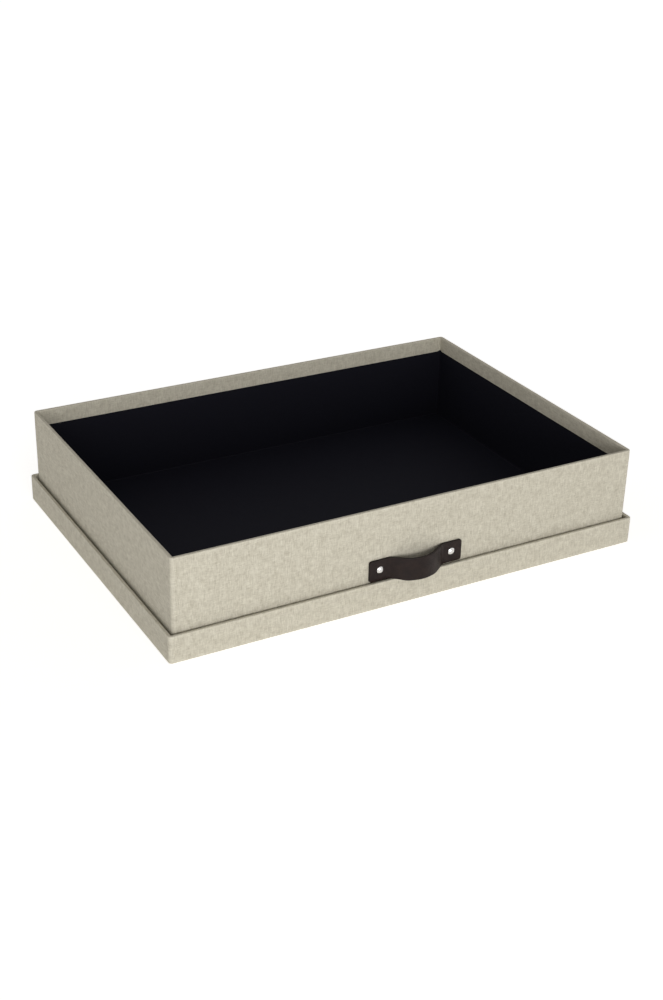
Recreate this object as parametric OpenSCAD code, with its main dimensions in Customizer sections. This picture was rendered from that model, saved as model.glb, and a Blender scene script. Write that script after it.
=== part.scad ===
// Flat document box, stored open: the tray stands in its own upturned lid.
// Both are greyboard trays, wrapped in canvas that turns in over the rim and
// lined with black paper. A bowed leather strap is riveted to the front wall.
//
// Frame: X to the right, Y to the back, Z up. The origin is on the table,
// under the middle of the lid. All lengths are in millimetres.

/* [Tray] */
// Outside width of the tray, left to right
tray_w = 432; // [320:1:520]
// Outside depth of the tray, front to back
tray_d = 304; // [230:1:400]
// Outside height of the tray
tray_h = 86.3; // [72:0.1:140]

/* [Lid] */
// Outside height of the lid's rim
lid_h = 24.4; // [21:0.1:30]
// Gap between the tray's wall and the inside of the lid's rim, on each side
lid_gap = 2.4; // [0.6:0.1:3]

/* [Board and covering] */
// Thickness of the greyboard panels
board_t = 1.8; // [1.4:0.1:2.6]
// Thickness of the canvas wrap
canvas_t = 0.4; // [0.3:0.05:0.7]
// Thickness of the black lining paper
lining_t = 0.2; // [0.15:0.05:0.4]
// Width of the canvas band turned in below the tray's top edge
tray_turn_in = 14.5; // [10:0.5:22]
// Width of the canvas band turned in below the top edge of the lid's rim
lid_turn_in = 13; // [8:0.5:16]
// Radius of the inside corners between two turned-in bands
inside_corner_r = 0.2; // [0.1:0.1:2]
// Rounding of the canvas along the top edges
rim_round = 0.7; // [0.3:0.1:1]
// Rounding of the canvas along the bottom folds
fold_round = 1; // [0.5:0.1:1.2]
// Width of the bevel cut off the end of a turned-in band
band_bevel_w = 3; // [1:0.5:6]
// Height of that bevel at the corner
band_bevel_h = 1.2; // [0.4:0.2:3]
// Width of the paper tape on each side of a taped corner
stay_w = 14; // [8:1:25]
// Thickness of the paper tape, pressed into the back of the canvas
stay_t = 0.15; // [0.1:0.05:0.25]

/* [Strap handle] */
// Width of the strap, up and down
strap_w = 20; // [14:0.5:24]
// Thickness of the leather
strap_t = 2.1; // [1.5:0.1:3]
// Rise of the strap's middle above its ends
bow_rise = 11.5; // [8:0.5:15]
// Length of the bow along the wall, from foot to foot
bow_l = 55; // [45:1:80]
// Length of the flat at each end, from the bow's foot to the strap's end
flat_l = 16.5; // [14:0.5:24]
// Radius of the bend at each foot of the bow, at mid thickness
foot_r = 9; // [4:0.5:10]
// Steepness of the bow's flanks: 1 is a straight ramp, 2 has no straight stretch
bow_fullness = 1.45; // [1.4:0.05:1.7]
// Radius of the corners at the strap's ends
strap_corner_r = 2.5; // [1:0.5:5]
// Gap between the lid's rim and the strap's lower edge
strap_gap = 0.3; // [0.3:0.1:6]

/* [Rivets] */
// Distance from the middle of a rivet to the strap's end
rivet_inset = 10; // [6:0.5:12]
// Diameter of the domed rivet head
rivet_head_d = 6.4; // [5:0.1:8]
// Height of the dome above the head's edge
rivet_dome_h = 1.2; // [0.8:0.1:2]
// Height of the head's edge
rivet_edge_h = 0.4; // [0.3:0.1:0.8]
// Diameter of the rivet's shank
shank_d = 3; // [2:0.1:4]
// Diameter of the rivet's back cap, inside the tray
back_cap_d = 8; // [6:0.1:10]
// Height of the back cap
back_cap_h = 1.1; // [0.9:0.1:1.6]
// Depth of the socket in the back cap that takes the shank's end
socket_depth = 0.6; // [0.3:0.1:0.7]

/* [Hidden] */
$fn = 64;

// Layers of a wall, counted inwards from the outside of the canvas
board_at = canvas_t;
lining_at = board_at + board_t;
band_at = lining_at + lining_t;
wall_t = band_at + canvas_t;
// A floor, and a wall below its turned-in band, end at the lining
bare_wall_t = band_at;
// Roundings that the canvas still covers
rim_r = min(rim_round, 2.5 * canvas_t);
fold_r = min(fold_round, 2.5 * canvas_t);
// Radius of the upright corners, outside the canvas
corner_r = wall_t + inside_corner_r;

lid_w = tray_w + 2 * (lid_gap + wall_t);
lid_d = tray_d + 2 * (lid_gap + wall_t);
// The tray stands on the lining of the lid's panel
tray_z = bare_wall_t;

strap_z = lid_h + strap_gap + strap_w / 2;
wall_front = -tray_d / 2;

strap_l = bow_l + 2 * flat_l;
rivet_spacing = strap_l - 2 * rivet_inset;

// Bow of the strap: two foot arcs, two straight flanks and a crown arc
bow_half = bow_l / 2;
flank_angle = bow_fullness * atan(bow_rise / bow_half);
crown_r = (bow_half * sin(flank_angle) - bow_rise * cos(flank_angle)) / (1 - cos(flank_angle)) - foot_r;
// Turn between two points of the strap's arcs, in degrees
arc_step = 3;

// What the shank passes through, from the strap's face to the tray's inside
grip = strap_t + bare_wall_t;

canvas_colour = "#c9c3b0";
board_colour = "#8d877b";
lining_colour = "#15151a";
tape_colour = "#b89b70";
leather_colour = "#33292a";
nickel_colour = "#d9d9d6";

// ---- Outlines -------------------------------------------------------------

// Rectangle with round corners, centred
module round_rect(w, d, r) {
    square([w - 2 * r, d], center = true);
    square([w, d - 2 * r], center = true);
    for (x = [-1, 1], y = [-1, 1])
        translate([x * (w / 2 - r), y * (d / 2 - r)]) circle(r);
}

// Outline of a tray w by d, one layer in from the outside of its canvas
module layer_outline(w, d, depth) {
    round_rect(w - 2 * depth, d - 2 * depth, corner_r - depth);
}

// What a round of radius r takes off a square corner at the origin; the solid lies at +x, +y
module corner_waste(r) {
    difference() {
        square(r);
        translate([r, r]) circle(r);
    }
}

// Points of an arc, from one angle to another
function arc(centre, r, from, to) =
    let (steps = ceil(abs(to - from) / arc_step))
    [for (i = [0:steps]) let (a = from + (to - from) * i / steps) centre + r * [cos(a), sin(a)]];

// Turns a section h high round an upright corner, cut off at the axis
module swept_corner(h) {
    rotate_extrude(angle = 90) intersection() {
        translate([corner_r, 0]) children();
        square([corner_r, h]);
    }
}

// Sweeps a section h high round a rectangle w by d. In the section x = 0 is the outside, -x is inwards.
module swept_frame(w, d, h) {
    straight_w = w - 2 * corner_r;
    straight_d = d - 2 * corner_r;
    for (turn = [0, 180]) {
        rotate(turn) translate([w / 2, 0]) rotate([90, 0, 0])
            linear_extrude(straight_d, center = true) children();
        rotate(turn + 90) translate([d / 2, 0]) rotate([90, 0, 0])
            linear_extrude(straight_w, center = true) children();
        rotate(turn) translate([straight_w / 2, straight_d / 2]) swept_corner(h) children();
        rotate(turn + 90) translate([straight_d / 2, straight_w / 2]) swept_corner(h) children();
    }
}

// ---- Pieces that the tray and the lid share ---------------------------------

// Section of the canvas at a wall: up the outside, over the rim and down the inside
module wrap_section(h, turn_in) {
    difference() {
        union() {
            translate([-wall_t, 0]) square([wall_t, h]);
            translate([-corner_r, 0]) square([corner_r, canvas_t]);
        }
        // the wall's board and lining
        translate([-band_at, canvas_t]) square([board_t + lining_t, h - 2 * canvas_t]);
        // the tray's inside, below the turned-in band
        translate([-corner_r, canvas_t]) square([corner_r - lining_at, h - turn_in - canvas_t]);
        mirror([1, 0]) corner_waste(fold_r);
        translate([0, h]) rotate(180) corner_waste(rim_r);
        translate([-wall_t, h]) mirror([0, 1]) corner_waste(rim_r);
    }
}

// What bevels the end of a turned-in band, with the inside corner at x = 0
module band_bevel() {
    past = wall_t - lining_at;
    polygon([
        [-band_bevel_w, -band_bevel_h], [past, -band_bevel_h], [past, band_bevel_h],
        [0, band_bevel_h], [-band_bevel_w, 0]
    ]);
}

// Canvas wrap of a tray w by d by h: one sheet over the panel and all four walls
module canvas_wrap(w, d, h, turn_in) {
    difference() {
        union() {
            swept_frame(w, d, h) wrap_section(h, turn_in);
            linear_extrude(canvas_t) square([w - 2 * corner_r, d - 2 * corner_r], center = true);
        }
        corner_tapes(w, d, h);
        // bevelled ends of the four turned-in bands
        for (turn = [0, 180], side = [0, 1]) {
            rotate(turn) mirror([side, 0]) translate([w / 2 - wall_t, d / 2 - lining_at, h - turn_in])
                rotate([90, 0, 0]) linear_extrude(wall_t) band_bevel();
            rotate(turn) mirror([side, 0]) translate([w / 2 - lining_at, d / 2 - wall_t, h - turn_in])
                rotate([90, 0, 90]) translate([0, 0, -wall_t]) linear_extrude(wall_t) band_bevel();
        }
    }
}

// Paper tape over the four upright corners, between the boards and the canvas
module corner_tapes(w, d, h) {
    translate([0, 0, canvas_t]) linear_extrude(h - 2 * canvas_t) intersection() {
        difference() {
            layer_outline(w, d, board_at - stay_t);
            layer_outline(w, d, board_at);
        }
        for (x = [-1, 1], y = [-1, 1])
            translate([x * w / 2, y * d / 2]) square(2 * (board_at + stay_w), center = true);
    }
}

// Greyboard for the front or back wall; side is -1 for the front, 1 for the back
module long_board(w, d, h, side) {
    intersection() {
        translate([0, 0, canvas_t]) linear_extrude(h - 2 * canvas_t) layer_outline(w, d, board_at);
        translate([0, side * (d / 2 - board_at - board_t / 2), h / 2]) cube([w, board_t, h], center = true);
    }
}

// Greyboard for a side wall, between the long boards; side is -1 for the left, 1 for the right
module short_board(w, d, h, side) {
    intersection() {
        translate([0, 0, canvas_t]) linear_extrude(h - 2 * canvas_t) layer_outline(w, d, board_at);
        translate([side * (w / 2 - board_at - board_t / 2), 0, h / 2])
            cube([board_t, d - 2 * lining_at, h], center = true);
    }
}

// Greyboard for the floor, inside the four walls
module floor_board(w, d) {
    translate([0, 0, board_at + board_t / 2])
        cube([w - 2 * lining_at, d - 2 * lining_at, board_t], center = true);
}

// Black paper round the inside of the walls, standing on the floor board
module wall_lining(w, d, h) {
    translate([0, 0, lining_at]) linear_extrude(h - canvas_t - lining_at) difference() {
        layer_outline(w, d, lining_at);
        layer_outline(w, d, band_at);
    }
}

// Black paper on the floor board, inside the wall lining
module floor_lining(w, d) {
    translate([0, 0, lining_at]) linear_extrude(lining_t) layer_outline(w, d, band_at);
}

// ---- Strap and rivets --------------------------------------------------------

// Places its children on the axis of a rivet, which points out of the front wall along +Z
module at_rivet(side) {
    translate([side * rivet_spacing / 2, wall_front, strap_z]) rotate([90, 0, 0]) children();
}

// Holes for both shanks, through the strap and the front wall
module rivet_holes() {
    for (side = [-1, 1])
        at_rivet(side) translate([0, 0, -wall_t]) cylinder(h = wall_t + 2 * strap_t, d = shank_d);
}

// The strap seen from above, with the wall along y = 0 and the strap at +y: its back, then its face
module strap_section() {
    mid = strap_t / 2;
    end = strap_l / 2;
    left = [-bow_half, mid + foot_r];
    right = [bow_half, mid + foot_r];
    crown = [0, mid + bow_rise - crown_r];
    polygon(concat(
        [[-end, 0]],
        arc(left, foot_r + mid, 270, 270 + flank_angle),
        arc(crown, crown_r - mid, 90 + flank_angle, 90 - flank_angle),
        arc(right, foot_r + mid, 270 - flank_angle, 270),
        [[end, 0], [end, strap_t]],
        arc(right, foot_r - mid, 270, 270 - flank_angle),
        arc(crown, crown_r + mid, 90 - flank_angle, 90 + flank_angle),
        arc(left, foot_r - mid, 270 + flank_angle, 270),
        [[-end, strap_t]]
    ));
}

module leather_strap() {
    color(leather_colour) difference() {
        intersection() {
            translate([0, wall_front, strap_z]) mirror([0, 1, 0])
                linear_extrude(strap_w, center = true) strap_section();
            translate([0, wall_front, strap_z]) rotate([90, 0, 0])
                linear_extrude(bow_rise + 2 * strap_t) round_rect(strap_l, strap_w, strap_corner_r);
        }
        rivet_holes();
    }
}

// Domed head with its shank, pushed in from the front
module rivet(side) {
    head_r = rivet_head_d / 2;
    dome_r = (head_r * head_r + rivet_dome_h * rivet_dome_h) / (2 * rivet_dome_h);
    color(nickel_colour) at_rivet(side) translate([0, 0, strap_t]) {
        cylinder(h = rivet_edge_h, d = rivet_head_d);
        translate([0, 0, rivet_edge_h]) intersection() {
            translate([0, 0, rivet_dome_h - dome_r]) sphere(dome_r);
            cylinder(h = 2 * rivet_dome_h, d = 2 * rivet_head_d);
        }
        translate([0, 0, -grip - socket_depth]) cylinder(h = grip + socket_depth, d = shank_d);
    }
}

// Cap pressed on the end of the shank, inside the tray
module rivet_back(side) {
    color(nickel_colour) at_rivet(side) translate([0, 0, -bare_wall_t - back_cap_h]) difference() {
        union() {
            cylinder(h = back_cap_h / 2, d1 = back_cap_d - back_cap_h, d2 = back_cap_d);
            translate([0, 0, back_cap_h / 2]) cylinder(h = back_cap_h / 2, d = back_cap_d);
        }
        translate([0, 0, back_cap_h - socket_depth]) cylinder(h = 2 * socket_depth, d = shank_d);
    }
}

// ---- Lid, upturned on the table ---------------------------------------------

module lid_canvas_wrap() { color(canvas_colour) canvas_wrap(lid_w, lid_d, lid_h, lid_turn_in); }
module lid_panel_board() { color(board_colour) floor_board(lid_w, lid_d); }
module lid_front_board() { color(board_colour) long_board(lid_w, lid_d, lid_h, -1); }
module lid_back_board() { color(board_colour) long_board(lid_w, lid_d, lid_h, 1); }
module lid_left_board() { color(board_colour) short_board(lid_w, lid_d, lid_h, -1); }
module lid_right_board() { color(board_colour) short_board(lid_w, lid_d, lid_h, 1); }
module lid_corner_tapes() { color(tape_colour) corner_tapes(lid_w, lid_d, lid_h); }
module lid_rim_lining() { color(lining_colour) wall_lining(lid_w, lid_d, lid_h); }
module lid_panel_lining() { color(lining_colour) floor_lining(lid_w, lid_d); }

// ---- Tray, standing in the lid ------------------------------------------------

// Lifts a tray piece onto the lid's panel
module on_lid() { translate([0, 0, tray_z]) children(); }

module tray_canvas_wrap() {
    color(canvas_colour) difference() {
        on_lid() canvas_wrap(tray_w, tray_d, tray_h, tray_turn_in);
        rivet_holes();
    }
}
module tray_floor_board() { color(board_colour) on_lid() floor_board(tray_w, tray_d); }
module tray_front_board() {
    color(board_colour) difference() {
        on_lid() long_board(tray_w, tray_d, tray_h, -1);
        rivet_holes();
    }
}
module tray_back_board() { color(board_colour) on_lid() long_board(tray_w, tray_d, tray_h, 1); }
module tray_left_board() { color(board_colour) on_lid() short_board(tray_w, tray_d, tray_h, -1); }
module tray_right_board() { color(board_colour) on_lid() short_board(tray_w, tray_d, tray_h, 1); }
module tray_corner_tapes() { color(tape_colour) on_lid() corner_tapes(tray_w, tray_d, tray_h); }
module tray_wall_lining() {
    color(lining_colour) difference() {
        on_lid() wall_lining(tray_w, tray_d, tray_h);
        rivet_holes();
    }
}
module tray_floor_lining() { color(lining_colour) on_lid() floor_lining(tray_w, tray_d); }

lid_canvas_wrap();
lid_panel_board();
lid_front_board();
lid_back_board();
lid_left_board();
lid_right_board();
lid_corner_tapes();
lid_rim_lining();
lid_panel_lining();
tray_canvas_wrap();
tray_floor_board();
tray_front_board();
tray_back_board();
tray_left_board();
tray_right_board();
tray_corner_tapes();
tray_wall_lining();
tray_floor_lining();
leather_strap();
rivet(-1);  // left_rivet
rivet(1);  // right_rivet
rivet_back(-1);  // left_rivet_back
rivet_back(1);  // right_rivet_back
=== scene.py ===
"""Canvas-covered document box, stored open: the tray stands in its own upturned lid.

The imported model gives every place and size. This script makes the cloth, paper, leather and
metal round it, and a plain studio. All lengths are in metres.
"""
import logging
import math
from dataclasses import dataclass, field
from enum import Enum
from typing import Callable, Iterator, Sequence

import bmesh
import bpy
from mathutils import Matrix, Vector, noise


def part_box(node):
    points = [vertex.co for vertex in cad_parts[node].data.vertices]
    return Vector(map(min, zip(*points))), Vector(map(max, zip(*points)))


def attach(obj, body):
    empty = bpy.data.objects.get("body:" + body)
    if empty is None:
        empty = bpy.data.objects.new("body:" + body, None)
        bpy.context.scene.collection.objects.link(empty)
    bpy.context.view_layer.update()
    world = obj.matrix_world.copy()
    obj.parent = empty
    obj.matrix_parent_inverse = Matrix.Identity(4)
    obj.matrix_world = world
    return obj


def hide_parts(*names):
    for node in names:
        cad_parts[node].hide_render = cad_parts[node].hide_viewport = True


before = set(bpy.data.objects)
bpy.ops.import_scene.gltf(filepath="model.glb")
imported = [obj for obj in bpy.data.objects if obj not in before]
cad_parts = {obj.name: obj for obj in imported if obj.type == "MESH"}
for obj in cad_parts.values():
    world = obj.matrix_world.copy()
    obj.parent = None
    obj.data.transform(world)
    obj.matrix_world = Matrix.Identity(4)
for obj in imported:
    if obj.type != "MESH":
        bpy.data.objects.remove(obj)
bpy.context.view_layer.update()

log = logging.getLogger("document_box")

MM = 0.001
MERGE = 2e-6
SLIVER = 1e-7
Pair = tuple[float, float]
Triple = tuple[float, float, float]
Colour = Triple
Socket = bpy.types.NodeSocket
Fed = float | Sequence[float] | Socket


class Body(Enum):
    """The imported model's bodies."""

    LID = "lid"
    TRAY = "tray"


class Slot(Enum):
    """The record's material slots."""

    CANVAS = "canvas"
    GREYBOARD = "greyboard"
    LINING = "lining"
    TAPE = "tape"
    LEATHER = "leather"
    NICKEL = "nickel"


class Flap(Enum):
    """The flap of a cut blank that a face of the wall's cloth belongs to."""

    LONG = "long"
    SHORT = "short"


# ---- Drafting of meshes ----------------------------------------------------------------


def add_object(name: str, data: bpy.types.ID) -> bpy.types.Object:
    """Adds an object to the scene.

    Args:
        name: its name.
        data: its mesh, lamp or camera.

    Returns:
        The object, linked to the scene.
    """
    made = bpy.data.objects.new(name, data)
    bpy.context.scene.collection.objects.link(made)
    return made


class MeshDraft:
    """Vertices, faces and sheet coordinates of a mesh before Blender gets it."""

    def __init__(self) -> None:
        """Starts with nothing drafted."""
        self.points: list[Vector] = []
        self.worn: list[float] = []
        self.faces: list[tuple[int, ...]] = []
        self.sheet: list[Pair] = []

    def point(self, place: Sequence[float], worn: float = 0.0) -> int:
        """Adds a vertex.

        Args:
            place: where it is.
            worn: how much wear it takes, from 0 to 1.

        Returns:
            Its number.
        """
        self.points.append(Vector(place))
        self.worn.append(worn)
        return len(self.points) - 1

    def face(self, numbers: Sequence[int], sheet: Sequence[Pair]) -> None:
        """Adds a face.

        Args:
            numbers: its vertices, in order.
            sheet: each corner's place on the flat blank.
        """
        self.faces.append(tuple(numbers))
        self.sheet.extend(sheet)

    def build(self, name: str, sharp: float = 40.0) -> bpy.types.Object:
        """Makes the mesh object.

        Args:
            name: the piece's name.
            sharp: the angle in degrees from which an edge shows as a crease.

        Returns:
            The object, linked to the scene.
        """
        mesh = bpy.data.meshes.new(name)
        mesh.from_pydata([tuple(p) for p in self.points], [], self.faces)
        layer = mesh.uv_layers.new(name="sheet")
        layer.data.foreach_set("uv", [c for pair in self.sheet for c in pair])
        wear = mesh.attributes.new("worn", "FLOAT", "POINT")
        wear.data.foreach_set("value", self.worn)
        work = bmesh.new()
        work.from_mesh(mesh)
        bmesh.ops.remove_doubles(work, verts=work.verts, dist=MERGE)
        bmesh.ops.dissolve_degenerate(work, edges=work.edges, dist=SLIVER)
        bmesh.ops.recalc_face_normals(work, faces=work.faces)
        work.to_mesh(mesh)
        work.free()
        mesh.polygons.foreach_set("use_smooth", [True] * len(mesh.polygons))
        mesh.set_sharp_from_angle(angle=math.radians(sharp))
        mesh.validate()
        return add_object(name, mesh)


@dataclass(frozen=True)
class Station:
    """A place on a tray's outline where its wall's section stands."""

    outside: Vector
    inwards: Vector
    long_run: float
    short_run: float
    to_corner: float
    on_long_side: bool
    turning: bool


@dataclass(frozen=True)
class SectionPoint:
    """One point of a wall's section."""

    depth: float
    height: float
    run: float
    out: Pair = (0.0, 0.0)
    uneven: float = 0.0
    worn: float = 0.0


def smooth(value: float, low: float, high: float) -> float:
    """Smooth step of value, 0 below low and 1 above high."""
    share = min(1.0, max(0.0, (value - low) / (high - low)))
    return share * share * (3.0 - 2.0 * share)


def waver(place: Sequence[float], pitch: float, seed: float) -> float:
    """Slow unevenness of handwork.

    Args:
        place: where it is asked for.
        pitch: the distance between two bumps.
        seed: a number that tells one piece from another.

    Returns:
        A value from about -1 to 1.
    """
    apart = Vector((seed * 7.31, seed * 3.17, seed * 5.71))
    return noise.noise(Vector(place) / pitch + apart)


@dataclass
class Outline:
    """Round-cornered rectangle that a tray's walls follow, seen from above."""

    width: float
    depth: float
    corner: float
    marks: Sequence[float] = ()
    seam: float = 0.0
    spacing: float = 6.5 * MM
    corner_steps: int = 8

    def stops(self, length: float) -> list[float]:
        """Places along a side, closer together at the marks near its ends.

        Args:
            length: the side's outside length, corner to corner.

        Returns:
            Distances from the side's middle, rising.
        """
        half = length / 2 - self.corner
        inner = [length / 2 - mark for mark in self.marks if mark > self.corner]
        plain_half = min(inner) if inner else half
        count = max(2, round(2 * plain_half / self.spacing))
        plain = [-plain_half + 2 * plain_half * i / count for i in range(count + 1)]
        ends = sorted(v for v in inner if v > plain_half)
        return [-half, *[-v for v in reversed(ends)], *plain, *ends, half]

    def stations(self) -> list[Station]:
        """The closed row of stations, counterclockwise from the front's left end.

        Returns:
            The stations, each corner's after its side's.
        """
        found: list[Station] = []
        for side in range(4):
            found.extend(self._side(side))
            found.extend(self._corner(side))
        return found

    def _side(self, side: int) -> Iterator[Station]:
        """Stations of one straight side, without its corners.

        Args:
            side: 0 for the front, 1 right, 2 back, 3 left.

        Returns:
            The stations, from the side's start to its end.
        """
        turn = Matrix.Rotation(math.radians(90 * side), 2)
        long_side = side % 2 == 0
        length, across = (self.width, self.depth) if long_side else (self.depth, self.width)
        near, inwards = turn @ Vector((0, -across / 2)), turn @ Vector((0, 1))
        along = turn @ Vector((1, 0))
        arc = self.corner * math.pi / 2
        for stop in self.stops(length):
            place = near + along * stop
            short_run = place.y
            if long_side:
                past = self.width / 2 - self.corner - abs(stop)
                short_run = (1 if side == 2 else -1) * (self.depth / 2 - self.corner + arc + past)
            yield Station(
                outside=place, inwards=inwards, long_run=place.x, short_run=short_run,
                to_corner=length / 2 - abs(stop), on_long_side=long_side, turning=False,
            )

    def _corner(self, side: int) -> Iterator[Station]:
        """Stations of the round corner at the end of a side, without its two end points.

        Args:
            side: the side that ends in it.

        Returns:
            The stations, one at each step of the turn.
        """
        sign_x, sign_y = (1, 1, -1, -1)[side], (-1, 1, 1, -1)[side]
        centre = Vector((
            sign_x * (self.width / 2 - self.corner), sign_y * (self.depth / 2 - self.corner),
        ))
        for step in range(1, self.corner_steps):
            share = step / self.corner_steps
            angle = math.radians(90 * (side - 1 + share))
            outwards = Vector((math.cos(angle), math.sin(angle)))
            from_short = (1 - share if side % 2 == 0 else share) * self.corner * math.pi / 2
            yield Station(
                outside=centre + outwards * self.corner, inwards=-outwards,
                long_run=sign_x * self.width / 2,
                short_run=sign_y * (self.depth / 2 - self.corner + from_short),
                to_corner=0.0, on_long_side=False, turning=True,
            )

    def place(self, station: Station, depth: float) -> Vector:
        """Where a station's section reaches at a depth, mitred past the corner's centre.

        Args:
            station: where the section stands.
            depth: distance inwards from the outside.

        Returns:
            The place, seen from above.
        """
        spot = station.outside + station.inwards * min(depth, self.corner)
        if depth > self.corner:
            half_w, half_d = self.width / 2 - depth, self.depth / 2 - depth
            spot = station.outside + station.inwards * depth
            if station.turning:
                spot = Vector((
                    math.copysign(half_w, station.outside.x),
                    math.copysign(half_d, station.outside.y),
                ))
            spot = Vector((
                min(half_w, max(-half_w, spot.x)), min(half_d, max(-half_d, spot.y)),
            ))
        return spot


@dataclass
class Sweep:
    """Sweeps a wall's section round an outline, with or without panels across the middle."""

    outline: Outline
    section: Callable[[Station], list[SectionPoint]]
    base: float
    panels: bool
    swell: float = 0.0
    swell_pitch: float = 30 * MM
    seed: float = 1.0

    def draft(self) -> MeshDraft:
        """Drafts the whole closed mesh.

        Returns:
            The mesh, ready to be built.
        """
        mesh = MeshDraft()
        stations = self.outline.stations()
        sections = [self.section(station) for station in stations]
        rows = [self._row(mesh, *pair) for pair in zip(stations, sections)]
        size = len(sections[0])
        last = size - 1 if self.panels else size
        for j, station in enumerate(stations):
            k = (j + 1) % len(stations)
            flap = self._flap(station, stations[k])
            for i in range(last):
                n = (i + 1) % size
                spots = [(j, i), (k, i), (k, n), (j, n)]
                mesh.face(
                    [rows[a][b] for a, b in spots],
                    [self._on_sheet(stations[a], sections[a][b].run, flap) for a, b in spots],
                )
        if self.panels:
            self._panel(mesh, sections[0][0].height)
            self._panel(mesh, sections[0][-1].height)
        return mesh

    def _row(self, mesh: MeshDraft, station: Station, section: list[SectionPoint]) -> list[int]:
        """Adds the vertices of one station's section.

        Args:
            mesh: what is being drafted.
            station: where the section stands.
            section: its points.

        Returns:
            The vertices' numbers, in the section's order.
        """
        row = []
        for spot in section:
            flat = self.outline.place(station, spot.depth)
            rest = Vector((flat.x, flat.y, self.base + spot.height))
            lift = 0.5 + 0.5 * waver(rest, self.swell_pitch, self.seed)
            lift *= self.swell * spot.uneven
            inwards = station.inwards * lift * spot.out[0]
            rest += Vector((inwards.x, inwards.y, lift * spot.out[1]))
            row.append(mesh.point(rest, spot.worn))
        return row

    def _flap(self, one: Station, other: Station) -> Flap:
        """The flap that the cloth between two stations is part of.

        Args:
            one: a station.
            other: the next one.

        Returns:
            The flap, which is the short side's at a corner.
        """
        both_long = one.on_long_side and other.on_long_side
        beyond_seam = min(one.to_corner, other.to_corner) >= self.outline.seam - MERGE
        return Flap.LONG if both_long and beyond_seam else Flap.SHORT

    def _on_sheet(self, station: Station, run: float, flap: Flap) -> Pair:
        """Where a point of the wall lies on the flat blank.

        Args:
            station: where the section stands.
            run: the cloth's length up to the point.
            flap: the flap that the face belongs to.

        Returns:
            The place, in metres from the blank's middle.
        """
        if flap is Flap.LONG:
            edge = self.outline.depth / 2 + run
            return station.long_run, math.copysign(edge, station.outside.y)
        edge = self.outline.width / 2 + run
        return math.copysign(edge, station.outside.x), station.short_run

    def _panel(self, mesh: MeshDraft, height: float) -> None:
        """Closes the middle with a grid whose rim meets the section's end.

        Args:
            mesh: what is being drafted.
            height: how high it lies above the base.
        """
        xs = self.outline.stops(self.outline.width)
        ys = self.outline.stops(self.outline.depth)
        z = self.base + height
        rows = [[mesh.point((x, y, z)) for x in xs] for y in ys]
        for j in range(len(ys) - 1):
            for i in range(len(xs) - 1):
                spots = [(j, i), (j, i + 1), (j + 1, i + 1), (j + 1, i)]
                mesh.face([rows[a][b] for a, b in spots], [(xs[b], ys[a]) for a, b in spots])


def arc_points(
    centre: Pair, radius: float, start: float, end: float, steps: int
) -> list[tuple[float, float, Pair]]:
    """Points on an arc of a section.

    Args:
        centre: depth and height of its centre.
        radius: its radius.
        start: the first angle in degrees, 0 inwards and 90 up.
        end: the last angle in degrees.
        steps: the number of its parts.

    Returns:
        Depth, height and outward direction of each point.
    """
    found = []
    for step in range(steps + 1):
        angle = math.radians(start + (end - start) * step / steps)
        out = (math.cos(angle), math.sin(angle))
        found.append((centre[0] + radius * out[0], centre[1] + radius * out[1], out))
    return found


def rows(low: float, high: float, spacing: float) -> list[float]:
    """Heights from low to high, about a spacing apart."""
    count = max(1, round((high - low) / spacing))
    return [low + (high - low) * step / count for step in range(count + 1)]


# ---- Node graphs and shared shader groups ----------------------------------------------


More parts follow.
